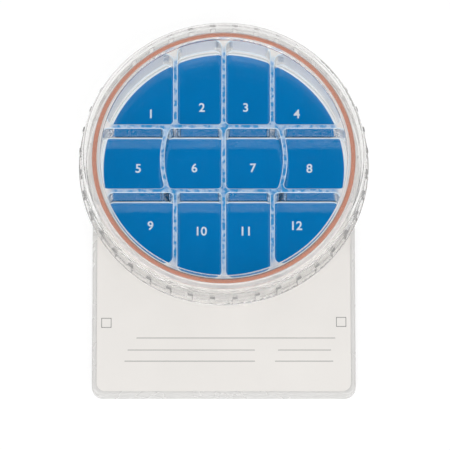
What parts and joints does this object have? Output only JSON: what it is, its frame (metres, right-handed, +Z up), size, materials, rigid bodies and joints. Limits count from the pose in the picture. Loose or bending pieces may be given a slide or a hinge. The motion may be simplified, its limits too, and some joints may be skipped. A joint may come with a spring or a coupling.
{
  "type": "biopsy specimen container",
  "caption": "Clear round specimen dish divided into compartments, with an O-ring screw lid and a flat writing panel on its base.",
  "frame": {"origin": "middle of the whole outline, on the surface that the base stands on", "axes": "+Z up, +Y from the writing panel towards the far side of the dish, +X to the right as seen from the panel"},
  "size_m": [0.1162, 0.1534, 0.0197],
  "materials": {
    "dish_clear": "clear moulded styrene with a cold blue cast",
    "base_clear": "clear moulded styrene, milky at the rim",
    "lid_clear": "clear moulded styrene",
    "seal_rubber": "smooth orange silicone, satin",
    "blue_print": "even blue print on a thin film, with white numbers",
    "panel_print": "off-white matt label with fine printed rules"
  },
  "bodies": {
    "container": {"dish": "dish_clear", "base": "base_clear", "compartment_label": "blue_print", "panel_label": "panel_print"},
    "seal": {"lid_o_ring": "seal_rubber"},
    "cover": {"lid": "lid_clear"}
  },
  "joints": [
    {"name": "lid_lift", "type": "slide", "parent": "container", "child": "seal", "axis": [0, 0, 1], "range_m": [0, 0.01201]},
    {"name": "lid_turn", "type": "hinge", "parent": "seal", "child": "cover", "pos_m": [0, 0.01855, 0], "axis": [0, 0, 1], "range_deg": [0, 270]}
  ],
  "couplings": [
    {"joint": "lid_lift", "follows": "lid_turn", "m_per_rad": 0.0025465}
  ]
}
